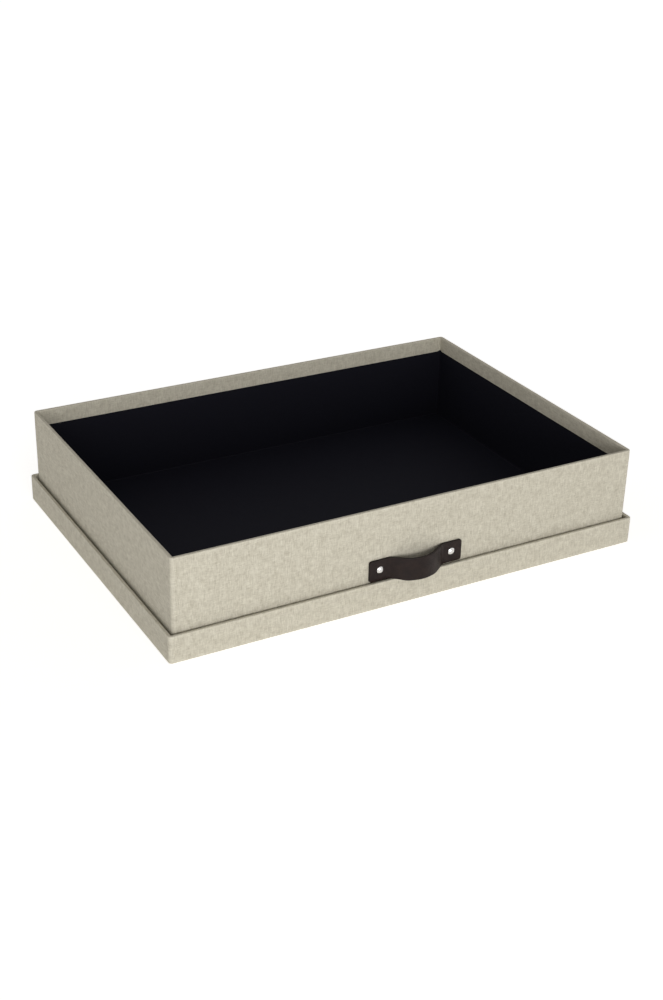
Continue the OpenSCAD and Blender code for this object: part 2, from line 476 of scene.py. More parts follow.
class Graph:
    """Adds nodes to a node tree and joins them."""

    columns = 12
    spacing = (180, 260)

    def __init__(self, tree: bpy.types.NodeTree) -> None:
        """Works on the tree given."""
        self.tree = tree
        self.count = 0

    @classmethod
    def cleared(cls, owner: bpy.types.Material | bpy.types.World) -> "Graph":
        """Graph of a material or world whose own nodes are taken out.

        Args:
            owner: the material or world.

        Returns:
            The graph, without nodes.
        """
        owner.use_nodes = True
        owner.node_tree.nodes.clear()
        return cls(owner.node_tree)

    def node(
        self, kind: str, inputs: dict[str | int, Fed] | None = None, **settings: object
    ) -> bpy.types.Node:
        """Adds a node.

        Args:
            kind: the node's type without its ShaderNode prefix, or a whole type name.
            inputs: what its sockets are fed with, by name or number.
            **settings: its own settings.

        Returns:
            The node.
        """
        whole = kind if kind.startswith("Node") else "ShaderNode" + kind
        node = self.tree.nodes.new(whole)
        row, column = divmod(self.count, self.columns)
        node.location = (self.spacing[0] * column, -self.spacing[1] * row)
        self.count += 1
        for key, value in settings.items():
            setattr(node, key, value)
        for key, value in (inputs or {}).items():
            self.feed(node.inputs[key], value)
        return node

    def feed(self, socket: Socket, value: Fed) -> None:
        """Links a socket to another, or sets its value.

        Args:
            socket: a node's input.
            value: another node's output, a number or a row of numbers.
        """
        if isinstance(value, bpy.types.NodeSocket):
            self.tree.links.new(value, socket)
        elif isinstance(value, (int, float)):
            socket.default_value = float(value)
        else:
            filled = list(value)
            if socket.type == "RGBA" and len(filled) == 3:
                filled.append(1.0)
            socket.default_value = filled

    def math(self, operation: str, *values: Fed, clamp: bool = False) -> Socket:
        """Output of a Math node with one, two or three values."""
        inputs = dict(enumerate(values))
        return self.node("Math", inputs, operation=operation, use_clamp=clamp).outputs[0]

    def times(self, a: Fed, b: Fed) -> Socket:
        """Product of two values."""
        return self.math("MULTIPLY", a, b)

    def swing(self, value: Fed, amount: Fed) -> Socket:
        """How far a value from 0 to 1 is from its middle, times an amount."""
        return self.times(self.math("SUBTRACT", value, 0.5), amount)

    def shift(self, place: Fed, by: Fed) -> Socket:
        """Sum of two vectors."""
        return self.node("VectorMath", {0: place, 1: by}, operation="ADD").outputs[0]

    def vector(self, *values: Fed) -> Socket:
        """Vector of two or three values."""
        return self.node("CombineXYZ", dict(enumerate(values))).outputs[0]

    def parts(self, vector: Fed) -> Sequence[Socket]:
        """The three values of a vector."""
        return self.node("SeparateXYZ", {0: vector}).outputs

    def mix(self, factor: Fed, a: Fed, b: Fed) -> Socket:
        """Colour between two, as a factor says."""
        return self.node("Mix", {0: factor, 6: a, 7: b}, data_type="RGBA").outputs[2]

    def span(
        self, value: Fed, low: Fed, high: Fed, to_low: Fed = 0.0, to_high: Fed = 1.0
    ) -> Socket:
        """Value carried from one range to another and kept inside it."""
        inputs = dict(enumerate((value, low, high, to_low, to_high)))
        return self.node("MapRange", inputs).outputs[0]

    def sheet(self) -> Socket:
        """Place on the flat blank."""
        return self.node("UVMap", uv_map="sheet").outputs[0]

    def object_place(self) -> Socket:
        """Place in the piece's own frame."""
        return self.node("TexCoord").outputs["Object"]

    def worn(self) -> Socket:
        """The mesh's mask of edges and folds."""
        return self.node("Attribute", attribute_name="worn").outputs["Fac"]

    def noise(self, where: Fed, scale: Fed, detail: float = 2.0, roughness: float = 0.5) -> Socket:
        """Value output of a Noise Texture."""
        inputs = {"Vector": where, "Scale": scale, "Detail": detail, "Roughness": roughness}
        return self.node("TexNoise", inputs).outputs[0]


@dataclass
class ShaderGroup:
    """A shader node group, built once and placed with other values.

    Its first input is a vector and the others are numbers, as all its outputs are.
    """

    name: str
    inputs: tuple[str, ...]
    outputs: tuple[str, ...]
    draw: Callable[[Graph, dict[str, Socket]], dict[str, Socket]]
    tree: bpy.types.NodeTree | None = None

    def build(self) -> bpy.types.NodeTree:
        """Makes the group's tree on its first use.

        Returns:
            The tree, the same one each time.
        """
        if self.tree is not None:
            return self.tree
        self.tree = bpy.data.node_groups.new(self.name, "ShaderNodeTree")
        add = self.tree.interface.new_socket
        for name in self.inputs:
            kind = "Vector" if name == self.inputs[0] else "Float"
            add(name=name, in_out="INPUT", socket_type="NodeSocket" + kind)
        for name in self.outputs:
            add(name=name, in_out="OUTPUT", socket_type="NodeSocketFloat")
        graph = Graph(self.tree)
        entry = graph.node("NodeGroupInput")
        leave = graph.node("NodeGroupOutput")
        drawn = self.draw(graph, {name: entry.outputs[name] for name in self.inputs})
        for name, socket in drawn.items():
            graph.feed(leave.inputs[name], socket)
        return self.tree

    def use(self, graph: Graph, **values: Fed) -> dict[str, Socket]:
        """Places the group in a material.

        Args:
            graph: the material's graph.
            **values: what each input is fed with.

        Returns:
            The outputs by name.
        """
        node = graph.node("Group", node_tree=self.build())
        for key, value in values.items():
            graph.feed(node.inputs[key], value)
        return {name: node.outputs[name] for name in self.outputs}


def draw_weave(graph: Graph, fed: dict[str, Socket]) -> dict[str, Socket]:
    """Plain weave of uneven yarns, seen from its face.

    Args:
        graph: the group's graph.
        fed: Sheet, the place on the flat cloth in metres, Pitch, Slub and Wander.

    Returns:
        Tone from 0 to 1, Gap in the mesh of yarns, and Height in shares of a yarn.
    """
    drift_scale, drift_apart = 170.0, (3.1, 1.7, 0.0)
    yarn_apart, yarn_change = 3.7, 0.11
    thin_yarn, thick_yarn = 1.25, 0.72
    middle_rise, half_rise = 0.68, 0.32
    lost = graph.noise(fed["Sheet"], drift_scale)
    lost_again = graph.noise(graph.shift(fed["Sheet"], drift_apart), drift_scale)
    drift = graph.vector(*(graph.swing(way, fed["Wander"]) for way in (lost, lost_again)))
    spot = graph.parts(graph.shift(fed["Sheet"], drift))
    over: dict[str, Socket] = {}
    yarns: dict[str, Socket] = {}
    for axis, across, along, seed in (("warp", 0, 1, 11.0), ("weft", 1, 0, 37.0)):
        x = graph.math("DIVIDE", spot[across], fed["Pitch"])
        y = graph.math("DIVIDE", spot[along], fed["Pitch"])
        number = graph.math("FLOOR", x)
        inside = graph.math("SUBTRACT", graph.math("FRACT", x), 0.5)
        yarns[axis] = graph.noise(
            graph.vector(graph.times(number, yarn_apart), graph.times(y, yarn_change), seed), 1.0,
        )
        width = graph.span(yarns[axis], 0.3, 0.75, thin_yarn, thick_yarn)
        round_yarn = graph.math("COSINE", graph.times(graph.times(inside, width), math.pi))
        parity = graph.times(number, math.pi)
        if axis == "weft":
            parity = graph.math("ADD", parity, math.pi)
        wave = graph.math("SINE", graph.math("ADD", graph.times(y, math.pi), parity))
        rise = graph.math("MULTIPLY_ADD", wave, half_rise, middle_rise)
        over[axis] = graph.times(graph.math("MAXIMUM", round_yarn, 0.0), rise)
    height = graph.math("MAXIMUM", over["warp"], over["weft"])
    warp_on_top = graph.math("GREATER_THAN", over["warp"], over["weft"])
    shade = graph.mix(warp_on_top, yarns["weft"], yarns["warp"])
    tone = graph.node("SeparateColor", {0: shade}).outputs[0]
    return {
        "Tone": graph.math("ADD", 0.5, graph.swing(tone, fed["Slub"]), clamp=True),
        "Gap": graph.span(height, 0.15, 0.6, 1.0, 0.0),
        "Height": height,
    }


def draw_streaks(graph: Graph, fed: dict[str, Socket]) -> dict[str, Socket]:
    """Thick and thin yarns in both directions, over soft blotches.

    Args:
        graph: the group's graph.
        fed: Sheet in metres, Across and Along, the streaks' width and length in metres, and
            Blotch, the blotches' size in metres.

    Returns:
        Streak, which is 0 on a plain yarn and up to 1 or down to -1 on a few, and Mottle,
        which changes about 0.5.
    """
    thick_range, thin_range = (0.53, 0.68), (0.47, 0.32)
    warp_share, weft_share = 0.7, 0.5
    spot = graph.parts(fed["Sheet"])
    runs = []
    for across, along, seed in ((0, 1, 2.3), (1, 0, 7.9)):
        where = graph.vector(
            graph.math("DIVIDE", spot[across], fed["Across"]),
            graph.math("DIVIDE", spot[along], fed["Along"]), seed,
        )
        yarn = graph.noise(where, 1.0, 1.5, 0.6)
        thick, thin = graph.span(yarn, *thick_range), graph.span(yarn, *thin_range)
        runs.append(graph.math("SUBTRACT", thick, thin))
    weft = graph.times(runs[1], weft_share)
    streak = graph.math("MULTIPLY_ADD", runs[0], warp_share, weft)
    mottle = graph.noise(fed["Sheet"], graph.math("DIVIDE", 1.0, fed["Blotch"]), 3.0, 0.62)
    return {"Streak": streak, "Mottle": mottle}


def draw_wear(graph: Graph, fed: dict[str, Socket]) -> dict[str, Socket]:
    """Rubbed patches along edges and folds.

    Args:
        graph: the group's graph.
        fed: Place in metres, Worn, the edge mask of the mesh, Patch, the patches' size in
            metres, and Amount.

    Returns:
        Mask from 0 to 1.
    """
    patches = graph.noise(fed["Place"], graph.math("DIVIDE", 1.0, fed["Patch"]), 3.0, 0.6)
    patchy_share, plain_share = 0.7, 0.3
    spread = graph.span(patches, 0.32, 0.68)
    share = graph.math("MULTIPLY_ADD", spread, patchy_share, plain_share)
    mask = graph.times(fed["Worn"], share)
    return {"Mask": graph.math("MULTIPLY", mask, fed["Amount"], clamp=True)}


def draw_fibres(graph: Graph, fed: dict[str, Socket]) -> dict[str, Socket]:
    """Pressed fibres of paper and board, with a few darker and lighter flecks.

    Args:
        graph: the group's graph.
        fed: Place in metres, Fibre, the fibres' width in metres, and Stretch, how many times
            longer than wide they are.

    Returns:
        Tone about 0.5, Fleck from 0 to 1 and Height from 0 to 1.
    """
    flecks_to_fibre, fleck_range = 0.25, (0.66, 0.72)
    spot = graph.parts(fed["Place"])
    short, long = fed["Fibre"], graph.times(fed["Fibre"], fed["Stretch"])
    layers = []
    for sizes in ((long, short, short), (short, long, long)):
        where = graph.vector(*(graph.math("DIVIDE", *pair) for pair in zip(spot, sizes)))
        layers.append(graph.noise(where, 1.0, 2.0, 0.6))
    tone = graph.times(graph.math("ADD", layers[0], layers[1]), 0.5)
    fleck_scale = graph.math("DIVIDE", flecks_to_fibre, fed["Fibre"])
    flecks = graph.noise(fed["Place"], fleck_scale, 1.0, 0.5)
    return {
        "Tone": tone,
        "Fleck": graph.span(flecks, *fleck_range),
        "Height": graph.math("MAXIMUM", layers[0], layers[1]),
    }


WEAVE = ShaderGroup(
    "woven cloth", ("Sheet", "Pitch", "Slub", "Wander"), ("Tone", "Gap", "Height"), draw_weave,
)
STREAKS = ShaderGroup(
    "yarn streaks", ("Sheet", "Across", "Along", "Blotch"), ("Streak", "Mottle"), draw_streaks,
)
WEAR = ShaderGroup("edge wear", ("Place", "Worn", "Patch", "Amount"), ("Mask",), draw_wear)
FIBRES = ShaderGroup(
    "paper fibres", ("Place", "Fibre", "Stretch"), ("Tone", "Fleck", "Height"), draw_fibres,
)


# ---- Finishes --------------------------------------------------------------------------


class Finish:
    """A material made once, on its first use."""

    name: str
    slot: Slot

    def material(self) -> bpy.types.Material:
        """The finish's material, drawn if it isn't there yet.

        Returns:
            The material, the same one each time.
        """
        found = bpy.data.materials.get(self.name)
        if found is not None:
            return found
        made = bpy.data.materials.new(self.name)
        graph = Graph.cleared(made)
        shader = graph.node("BsdfPrincipled")
        graph.node("OutputMaterial", {"Surface": shader.outputs[0]})
        self.dress(graph, shader)
        return made

    def dress(self, graph: Graph, shader: bpy.types.Node) -> None:
        """Feeds the shader; each finish has its own."""
        raise NotImplementedError

    def on(self, piece: bpy.types.Object) -> None:
        """Gives a piece this finish in all its material slots.

        Args:
            piece: the piece.
        """
        if not piece.material_slots:
            piece.data.materials.append(None)
        for held in piece.material_slots:
            held.material = self.material()

    @staticmethod
    def relief(
        graph: Graph, shader: bpy.types.Node, heights: Sequence[tuple[Socket, float, float]]
    ) -> None:
        """Chains bumps into the shader's normal.

        Args:
            graph: the material's graph.
            shader: the Principled shader.
            heights: each layer's height, its depth in metres and its strength.
        """
        below: dict[str | int, Fed] = {}
        for height, depth, strength in heights:
            bump = graph.node(
                "Bump", {"Height": height, "Distance": depth, "Strength": strength, **below},
            )
            below = {"Normal": bump.outputs[0]}
        graph.feed(shader.inputs["Normal"], below["Normal"])


@dataclass(frozen=True)
class CanvasFinish(Finish):
    """Undyed canvas: a plain weave of uneven yarns."""

    name: str = "natural canvas"
    slot: Slot = Slot.CANVAS
    pale: Colour = (0.675, 0.644, 0.541)
    dark: Colour = (0.412, 0.38, 0.302)
    # between: painted shade, the dark colour that the gaps between the yarns are mixed towards
    between: Colour = (0.3, 0.27, 0.2)
    rubbed: Colour = (0.7, 0.665, 0.56)
    pitch: float = 0.55 * MM
    slub: float = 1.6
    middle: float = 0.4
    uneven: float = 0.9
    streaked: float = 0.34
    gap_shade_share: float = 0.35
    wander: float = 0.5 * MM
    streak: Pair = (0.85 * MM, 5.5 * MM)
    blotch: float = 6.5 * MM
    rubbed_patch: float = 5 * MM
    rubbed_share: float = 0.5
    rough: Pair = (0.95, 0.8)
    gloss: float = 0.18
    sheen: float = 0.06
    sheen_rough: float = 0.6

    def dress(self, graph: Graph, shader: bpy.types.Node) -> None:
        """Lays the weave along the blank, so it turns with every fold.

        Args:
            graph: the material's graph.
            shader: its Principled shader.
        """
        sheet = graph.sheet()
        weave = WEAVE.use(
            graph, Sheet=sheet, Pitch=self.pitch, Slub=self.slub, Wander=self.wander,
        )
        across, along = self.streak
        streaks = STREAKS.use(
            graph, Sheet=sheet, Across=across, Along=along, Blotch=self.blotch,
        )
        rub = WEAR.use(
            graph, Place=sheet, Worn=graph.worn(), Patch=self.rubbed_patch,
            Amount=self.rubbed_share,
        )
        streak = graph.times(streaks["Streak"], self.streaked)
        broad = graph.math("ADD", streak, graph.swing(streaks["Mottle"], self.uneven))
        fine = graph.math("ADD", graph.swing(weave["Tone"], self.uneven), self.middle)
        cloth = graph.mix(graph.math("ADD", broad, fine, clamp=True), self.pale, self.dark)
        # Painted shade: the gaps between the yarns are darkened towards the between colour,
        # standing in for their shadow.
        shaded = graph.mix(graph.times(weave["Gap"], self.gap_shade_share), cloth, self.between)
        graph.feed(shader.inputs["Base Color"], graph.mix(rub["Mask"], shaded, self.rubbed))
        rough = graph.span(weave["Height"], 0.0, 1.0, *self.rough)
        graph.feed(shader.inputs["Roughness"], rough)
        shader.inputs["Specular IOR Level"].default_value = self.gloss
        shader.inputs["Sheen Weight"].default_value = self.sheen
        shader.inputs["Sheen Roughness"].default_value = self.sheen_rough
        self.relief(graph, shader, [
            (streaks["Mottle"], 0.6 * MM, 0.25),
            (streaks["Streak"], 0.16 * MM, 0.4),
            (weave["Height"], 0.14 * MM, 0.6),
        ])


@dataclass(frozen=True)
class FibreFinish(Finish):
    """Paper or board of pressed fibres with flecks."""

    dark: Colour
    light: Colour
    fleck: Colour
    fibre: float
    stretch: float
    contrast: Pair
    rough: Pair
    gloss: float
    depth: float
    flecks: float = 1.0

    def tone(self, graph: Graph, place: Socket, fibres: Socket) -> Socket:
        """Tone of the fibres, which some papers change."""
        return fibres

    def rub(self, graph: Graph, place: Socket, paper: Socket) -> Socket:
        """Colour of the paper, which some papers change where they are worn."""
        return paper

    def waves(self, graph: Graph, place: Socket) -> list[tuple[Socket, float, float]]:
        """Relief under the fibres' own."""
        return []

    def dress(self, graph: Graph, shader: bpy.types.Node) -> None:
        """Fibres give the tone, the roughness and the bump.

        Args:
            graph: the material's graph.
            shader: its Principled shader.
        """
        place = graph.object_place()
        fibres = FIBRES.use(graph, Place=place, Fibre=self.fibre, Stretch=self.stretch)
        tone = graph.span(self.tone(graph, place, fibres["Tone"]), *self.contrast)
        flecks = graph.times(fibres["Fleck"], self.flecks)
        paper = graph.mix(flecks, graph.mix(tone, self.dark, self.light), self.fleck)
        graph.feed(shader.inputs["Base Color"], self.rub(graph, place, paper))
        rough = graph.span(fibres["Tone"], 0.3, 0.7, *self.rough)
        graph.feed(shader.inputs["Roughness"], rough)
        shader.inputs["Specular IOR Level"].default_value = self.gloss
        fibre_relief = (fibres["Height"], self.depth, 0.5)
        self.relief(graph, shader, [*self.waves(graph, place), fibre_relief])


@dataclass(frozen=True)
class LiningFinish(FibreFinish):
    """Black matt paper, a little greyer where a fold is rubbed."""

    name: str = "black lining paper"
    slot: Slot = Slot.LINING
    dark: Colour = (0.0055, 0.0055, 0.009)
    light: Colour = (0.01, 0.01, 0.0155)
    fleck: Colour = (0.02, 0.02, 0.023)
    rubbed: Colour = (0.022, 0.022, 0.026)
    fibre: float = 0.14 * MM
    stretch: float = 7.0
    contrast: Pair = (0.3, 0.7)
    rough: Pair = (0.82, 0.62)
    gloss: float = 0.06
    depth: float = 0.05 * MM
    flecks: float = 0.35

    def rub(self, graph: Graph, place: Socket, paper: Socket) -> Socket:
        """Greyer along folds."""
        worn = WEAR.use(graph, Place=place, Worn=graph.worn(), Patch=9 * MM, Amount=0.8)
        return graph.mix(worn["Mask"], paper, self.rubbed)

    def waves(self, graph: Graph, place: Socket) -> list[tuple[Socket, float, float]]:
        """Soft waves of glued paper."""
        return [(graph.noise(place, 60.0), 0.6 * MM, 0.3)]


@dataclass(frozen=True)
class GreyboardFinish(FibreFinish):
    """Recycled greyboard with flecks of many papers."""

    name: str = "recycled greyboard"
    slot: Slot = Slot.GREYBOARD
    dark: Colour = (0.2, 0.185, 0.165)
    light: Colour = (0.33, 0.305, 0.265)
    fleck: Colour = (0.1, 0.11, 0.14)
    fibre: float = 0.3 * MM
    stretch: float = 6.0
    contrast: Pair = (0.36, 0.64)
    rough: Pair = (0.98, 0.85)
    gloss: float = 0.2
    depth: float = 0.08 * MM

    def tone(self, graph: Graph, place: Socket, fibres: Socket) -> Socket:
        """Fibres with clouds of pulp."""
        cloud = graph.noise(place, 220.0, 3.0, 0.6)
        return graph.math("ADD", graph.times(fibres, 0.6), graph.times(cloud, 0.4))


@dataclass(frozen=True)
class TapeFinish(FibreFinish):
    """Gummed kraft paper tape."""

    name: str = "kraft paper tape"
    slot: Slot = Slot.TAPE
    dark: Colour = (0.33, 0.21, 0.105)
    light: Colour = (0.46, 0.31, 0.165)
    fleck: Colour = (0.2, 0.12, 0.06)
    fibre: float = 0.12 * MM
    stretch: float = 14.0
    contrast: Pair = (0.33, 0.66)
    rough: Pair = (0.8, 0.6)
    gloss: float = 0.3
    depth: float = 0.04 * MM
    ribs: float = 9000.0

    def tone(self, graph: Graph, place: Socket, fibres: Socket) -> Socket:
        """Fibres with the ribs that a paper machine leaves."""
        ribs = graph.math("SINE", graph.times(graph.parts(place)[2], self.ribs))
        return graph.math("MULTIPLY_ADD", ribs, 0.04, fibres)


@dataclass(frozen=True)
class LeatherFinish(Finish):
    """Dark brown leather with a fine grain and burnished edges."""

    name: str = "dark brown leather"
    slot: Slot = Slot.LEATHER
    deep: Colour = (0.009, 0.0052, 0.005)
    warm: Colour = (0.026, 0.0145, 0.011)
    burnished: Colour = (0.012, 0.0085, 0.008)
    cell_scale: float = 1500.0
    pore_scale: float = 2600.0
    cloud_scale: float = 130.0
    drift_scale: float = 900.0
    drift: float = 0.6 * MM
    rubbed_patch: float = 2.5 * MM
    rubbed_share: float = 0.6
    rough: Pair = (0.5, 0.38)
    gloss: float = 0.16

    def dress(self, graph: Graph, shader: bpy.types.Node) -> None:
        """Grain of small cells between creases, with clouds and burnished edges.

        Args:
            graph: the material's graph.
            shader: its Principled shader.
        """
        place = graph.sheet()
        drift = graph.node(
            "TexNoise", {"Vector": place, "Scale": self.drift_scale, "Detail": 2.0},
        )
        wander = graph.node(
            "VectorMath", {0: drift.outputs["Color"], "Scale": self.drift}, operation="SCALE",
        )
        shifted = graph.shift(place, wander.outputs[0])
        cells = graph.node(
            "TexVoronoi", {"Vector": shifted, "Scale": self.cell_scale, "Randomness": 1.0},
            feature="DISTANCE_TO_EDGE",
        )
        pores = graph.noise(shifted, self.pore_scale)
        cloud = graph.noise(place, self.cloud_scale, 3.0, 0.6)
        crease = graph.span(cells.outputs["Distance"], 0.0, 0.16)
        tone = graph.math("MULTIPLY_ADD", cloud, 0.8, graph.times(crease, 0.25))
        hide = graph.mix(graph.span(tone, 0.4, 0.9), self.deep, self.warm)
        rub = WEAR.use(
            graph, Place=place, Worn=graph.worn(), Patch=self.rubbed_patch,
            Amount=self.rubbed_share,
        )
        graph.feed(shader.inputs["Base Color"], graph.mix(rub["Mask"], hide, self.burnished))
        graph.feed(shader.inputs["Roughness"], graph.span(cloud, 0.3, 0.7, *self.rough))
        shader.inputs["Specular IOR Level"].default_value = self.gloss
        self.relief(graph, shader, [
            (cloud, 0.25 * MM, 0.3), (crease, 0.05 * MM, 0.55), (pores, 0.03 * MM, 0.4),
        ])


@dataclass(frozen=True)
class NickelFinish(Finish):
    """Polished nickel with fine handling marks."""

    name: str = "polished nickel"
    slot: Slot = Slot.NICKEL
    bright: Colour = (0.7, 0.685, 0.665)
    dull: Colour = (0.48, 0.465, 0.45)
    haze_scale: float = 700.0
    mark_scale: float = 2600.0
    rough: Pair = (0.12, 0.28)

    def dress(self, graph: Graph, shader: bpy.types.Node) -> None:
        """Nearly smooth metal; marks and haze change its roughness.

        Args:
            graph: the material's graph.
            shader: its Principled shader.
        """
        place = graph.object_place()
        haze = graph.noise(place, self.haze_scale, 3.0, 0.6)
        marks = graph.node("TexNoise", {
            "Vector": place, "Scale": self.mark_scale, "Detail": 2.0, "Distortion": 1.5,
        }).outputs[0]
        dulled = graph.mix(graph.span(haze, 0.45, 0.8), self.bright, self.dull)
        graph.feed(shader.inputs["Base Color"], dulled)
        graph.feed(shader.inputs["Roughness"], graph.span(haze, 0.3, 0.75, *self.rough))
        shader.inputs["Metallic"].default_value = 1.0
        self.relief(graph, shader, [(marks, 0.02 * MM, 0.25)])


def stand_in(piece: bpy.types.Object, finish: Finish, body: Body, node: str) -> None:
    """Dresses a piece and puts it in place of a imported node.

    Args:
        piece: the piece.
        finish: its material.
        body: the body that it rides on.
        node: the node that it stands for.
    """
    finish.on(piece)
    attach(piece, body.value)
    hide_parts(node)
    log.info("%s: %d faces, stands for %s", piece.name, len(piece.data.polygons), node)


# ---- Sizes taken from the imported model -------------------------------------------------


@dataclass(frozen=True)
class Layers:
    """Depths of a wall's layers, counted inwards from the outside of its canvas."""

    board_at: float
    lining_at: float
    band_at: float
    tape: float = 0.15 * MM
    rim_round: float = 0.7 * MM
    fold_round: float = 1.0 * MM
    inside_corner: float = 0.2 * MM

    @property
    def wall(self) -> float:
        """Thickness of a wall at its turned-in band."""
        return self.band_at + self.board_at

    @property
    def corner(self) -> float:
        """Radius of the upright corners, outside the canvas."""
        return self.wall + self.inside_corner


@dataclass
class ClothTray:
    """A greyboard tray wrapped in canvas and lined with paper: the tray itself, or its lid."""

    body: Body
    bottom: str
    sides: str
    turn_in: float
    seed: float
    canvas: CanvasFinish = field(default_factory=CanvasFinish)
    paper: LiningFinish = field(default_factory=LiningFinish)
    seam_at: float = 4.4 * MM
    seam_step: float = 0.14 * MM
    tape_reach: float = 14.4 * MM
    bevel_width: float = 3 * MM
    bevel_height: float = 1.2 * MM
    cove: float = 0.9 * MM
    row: float = 6.5 * MM
    paper_row: float = 8 * MM
    hair: float = 0.08 * MM
    cloth_swell: Pair = (0.16 * MM, 26 * MM)
    paper_swell: Pair = (0.14 * MM, 38 * MM)
    end_waver: Pair = (0.14 * MM, 45 * MM)
    rim_waver: Pair = (0.07 * MM, 60 * MM)
    crease_drop: float = 0.9 * MM

    def __post_init__(self) -> None:
        """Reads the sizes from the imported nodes."""
        low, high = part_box(self.node("canvas_wrap"))
        floor_low, floor_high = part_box(self.node(f"{self.bottom}_lining"))
        walls = (f"{side}_board" for side in (self.bottom, "front", "back", "left", "right"))
        self.boards = [self.node(wall) for wall in walls]
        board_low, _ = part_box(self.boards[0])
        self.base = low.z
        self.height = high.z - low.z
        self.layers = Layers(
            board_at=board_low.z - low.z,
            lining_at=floor_low.z - low.z,
            band_at=floor_high.z - low.z,
        )
        self.outline = Outline(
            width=high.x - low.x, depth=high.y - low.y, corner=self.layers.corner,
            marks=(
                3.3 * MM, self.seam_at - 0.6 * MM, self.seam_at - self.hair,
                self.seam_at + self.hair, self.seam_at + 0.7 * MM, 5.8 * MM, 7 * MM, 9 * MM,
                11.5 * MM, self.tape_reach - 0.05 * MM, self.tape_reach + 0.05 * MM, 18 * MM,
            ),
            seam=self.seam_at,
        )

    def node(self, name: str) -> str:
        """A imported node's whole name."""
        return f"{self.body.value}_{name}"

    def build(self) -> None:
        """Makes and dresses the wrap, both linings and what the wrap hides."""
        wrap = self._piece(
            "canvas", "canvas_wrap", self.canvas, self._wrap_section,
            swell=self.cloth_swell[0], swell_pitch=self.cloth_swell[1], seed=self.seed,
        )
        self._piece("floor_paper", f"{self.bottom}_lining", self.paper, self._floor_section)
        self._piece(
            "wall_paper", f"{self.sides}_lining", self.paper, self._wall_section, panels=False,
            swell=self.paper_swell[0], swell_pitch=self.paper_swell[1], seed=self.seed + 20,
        )
        hidden = [(board, GreyboardFinish()) for board in self.boards]
        for name, finish in (*hidden, (self.node("corner_tapes"), TapeFinish())):
            finish.on(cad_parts[name])
        log.info("%s: %d boards and the corner tapes dressed", self.body.value, len(self.boards))

    def _piece(
        self, name: str, node: str, finish: Finish,
        section: Callable[[Station], list[SectionPoint]], panels: bool = True, **swell: float
    ) -> bpy.types.Object:
        """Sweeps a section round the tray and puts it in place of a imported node.

        Args:
            name: the piece's name, without the body's.
            node: the node's name, without the body's.
            finish: its material.
            section: its section at each station.
            panels: whether it goes across the middle.
            **swell: the unevenness that the sweep gives it.

        Returns:
            The piece.
        """
        draft = Sweep(self.outline, section, self.base, panels, **swell).draft()
        piece = draft.build(self.node(name))
        stand_in(piece, finish, self.body, self.node(node))
        return piece

    # The canvas

    def _seam_drop(self, station: Station) -> float:
        """How far the corner's tab lies below the flap that is glued over it.

        Args:
            station: where the section stands.

        Returns:
            The drop, inwards from the canvas's outside.
        """
        if not station.on_long_side or station.to_corner >= self.seam_at:
            return 0.0
        past = station.to_corner - self.layers.corner
        return self.seam_step * smooth(past, 0.0, 0.5 * MM)

    def _band_end(self, station: Station) -> float:
        """Height of the turned-in band's end, with its bevel near the corners.

        Args:
            station: where the section stands.

        Returns:
            The height above the tray's underside.
        """
        to_inside = 0.0 if station.turning else station.to_corner - self.layers.wall
        bevel = self.bevel_height * max(0.0, 1.0 - max(0.0, to_inside) / self.bevel_width)
        amount, pitch = self.end_waver
        wander = amount * waver((*station.outside, 0.0), pitch, self.seed + 4)
        return self.height - self.turn_in + bevel + wander * smooth(to_inside, 0.0, 12 * MM)

    def _wrap_section(self, station: Station) -> list[SectionPoint]:
        """The canvas's section at a station, from under the panel round to its upper side.

        Args:
            station: where the section stands.

        Returns:
            The section's points, in order.
        """
        layers, height, hair = self.layers, self.height, self.hair
        rim, fold, wall = layers.rim_round, layers.fold_round, layers.wall
        board, band = layers.board_at, layers.band_at
        drop, end = self._seam_drop(station), self._band_end(station)
        amount, pitch = self.rim_waver
        top = height + amount * waver((*station.outside, 0.0), pitch, self.seed + 9)
        crease = top - rim - self.crease_drop
        upright = 0.5 if station.turning else 0.0
        down, outwards, up, inwards, hidden = (0, -1), (-1, 0), (0, 1), (1, 0), (0, 0)
        points: list[SectionPoint] = []
        run = 0.0

        def add(depth: float, z: float, out: Pair, uneven: float = 0.0, worn: float = 0.0) -> None:
            """Adds a point and counts the cloth's length up to it.

            Args:
                depth: distance inwards from the outside.
                z: height above the underside.
                out: the direction out of the cloth.
                uneven: its share of the swell.
                worn: its wear, from 0 to 1.
            """
            nonlocal run
            if points:
                run += math.hypot(depth - points[-1].depth, z - points[-1].height)
            else:
                run = -depth
            points.append(SectionPoint(depth, z, run, out, uneven, max(worn, upright)))

        def turn(centre: Pair, radius: float, angles: Pair, steps: int, uneven: float) -> None:
            """Adds a worn round fold."""
            for depth, z, out in arc_points(centre, radius, *angles, steps):
                add(depth, z, out, uneven, 1.0)

